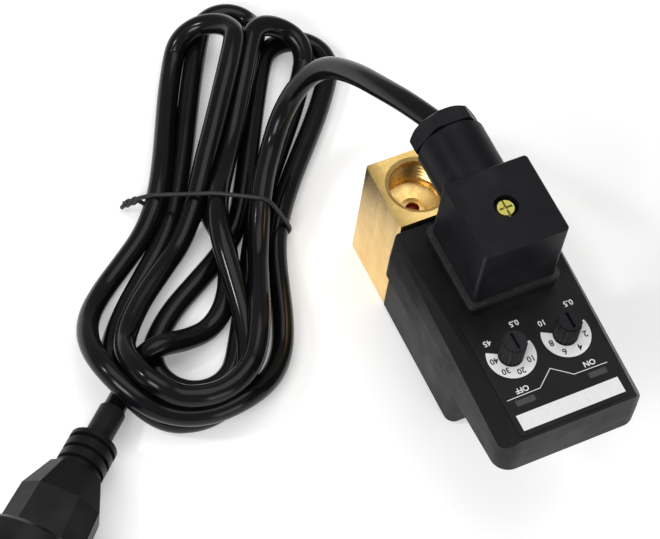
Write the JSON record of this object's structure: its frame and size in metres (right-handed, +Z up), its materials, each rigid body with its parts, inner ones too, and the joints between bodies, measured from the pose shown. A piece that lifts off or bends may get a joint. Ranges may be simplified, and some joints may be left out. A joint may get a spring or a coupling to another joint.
{
  "type": "automatic drain valve",
  "caption": "Timer controlled solenoid drain valve with a square brass body, a coil with a control case, a cable connector and a tied mains lead",
  "frame": {"origin": "centre of the lower port's mouth, on the underside of the brass body", "axes": "+Z up through both ports, +X along the solenoid from the brass body towards the coil and the timer's controls"},
  "size_m": [0.2148, 0.2096, 0.1012],
  "materials": {
    "brass": "machined bar, fine turning and saw marks, bright",
    "seal_rubber": "black nitrile",
    "tube_steel": "drawn stainless tube",
    "core_steel": "turned magnetic stainless steel",
    "copper": "enamelled copper",
    "red_seal": "dark red fluoro rubber",
    "spring_steel": "drawn spring wire",
    "coil_resin": "glass filled nylon, dull dark grey",
    "yoke_steel": "pressed mild steel",
    "tinned_brass": "tinned brass strip",
    "zinc_steel": "bright zinc plated",
    "case_plastic": "black moulded ABS with a fine spark texture",
    "panel_print": "black printed film with white scales",
    "board_laminate": "green glass epoxy laminate",
    "component_plastic": "moulded component cases",
    "knob_plastic": "black moulded nylon, fluted",
    "light_lens": "milky clear light lenses",
    "gasket_rubber": "black moulded nitrile gasket",
    "connector_plastic": "black glass filled polyamide, satin",
    "block_plastic": "black polyamide",
    "yellow_zinc": "yellow passivated steel screw",
    "cord_jacket": "black PVC cord, semi gloss",
    "tie_plastic": "plastic covered wire tie",
    "plug_plastic": "black moulded PVC, satin",
    "pin_brass": "nickel plated brass"
  },
  "bodies": {
    "valve": {"valve_body": "brass", "port_o_ring": "seal_rubber", "guide_tube": "tube_steel", "fixed_core": "core_steel", "shading_ring": "copper", "plunger_spring": "spring_steel", "coil_body": "coil_resin", "coil_yoke": "yoke_steel", "coil_winding": "copper", "coil_terminals": "tinned_brass", "coil_washer": "zinc_steel", "coil_nut": "zinc_steel", "coil_gasket": "seal_rubber", "timer_base": "case_plastic", "timer_lid": "case_plastic", "case_screws": "zinc_steel", "panel_film": "panel_print", "circuit_board": "board_laminate", "board_parts": "component_plastic", "coil_sockets": "tinned_brass", "timer_terminals": "tinned_brass", "minutes_potentiometer": "component_plastic", "seconds_potentiometer": "component_plastic", "test_switch": "component_plastic", "status_lights": "light_lens", "connector_gasket": "gasket_rubber", "connector_housing": "connector_plastic", "connector_block": "block_plastic", "connector_contacts": "tinned_brass", "connector_screw": "yellow_zinc", "gland_grommet": "seal_rubber", "gland_washer": "zinc_steel", "gland_nut": "connector_plastic", "cord_lead": "cord_jacket", "cord_hank": "cord_jacket", "cord_tail": "cord_jacket", "twist_tie": "tie_plastic", "strain_relief": "plug_plastic", "plug_body": "plug_plastic", "plug_pins": "pin_brass"},
    "plunger_body": {"plunger": "core_steel", "plunger_seal": "red_seal"},
    "minutes_dial": {"minutes_knob": "knob_plastic"},
    "seconds_dial": {"seconds_knob": "knob_plastic"},
    "test_key": {"test_button": "knob_plastic"}
  },
  "joints": [
    {"name": "plunger_stroke", "type": "slide", "parent": "valve", "child": "plunger_body", "axis": [1, 0, 0], "range_m": [0, 0.0018], "stiffness_N_per_m": 250, "springref_m": -0.004, "deforming": ["plunger_spring"]},
    {"name": "minutes_turn", "type": "hinge", "parent": "valve", "child": "minutes_dial", "pos_m": [0.0758, -0.0093, 0.07], "axis": [0, 0, 1], "range_deg": [-135, 135]},
    {"name": "seconds_turn", "type": "hinge", "parent": "valve", "child": "seconds_dial", "pos_m": [0.0758, 0.0093, 0.07], "axis": [0, 0, 1], "range_deg": [-135, 135]},
    {"name": "test_press", "type": "slide", "parent": "valve", "child": "test_key", "axis": [0, 0, -1], "range_m": [0, 0.0004], "stiffness_N_per_m": 800, "springref_m": -0.0005}
  ]
}
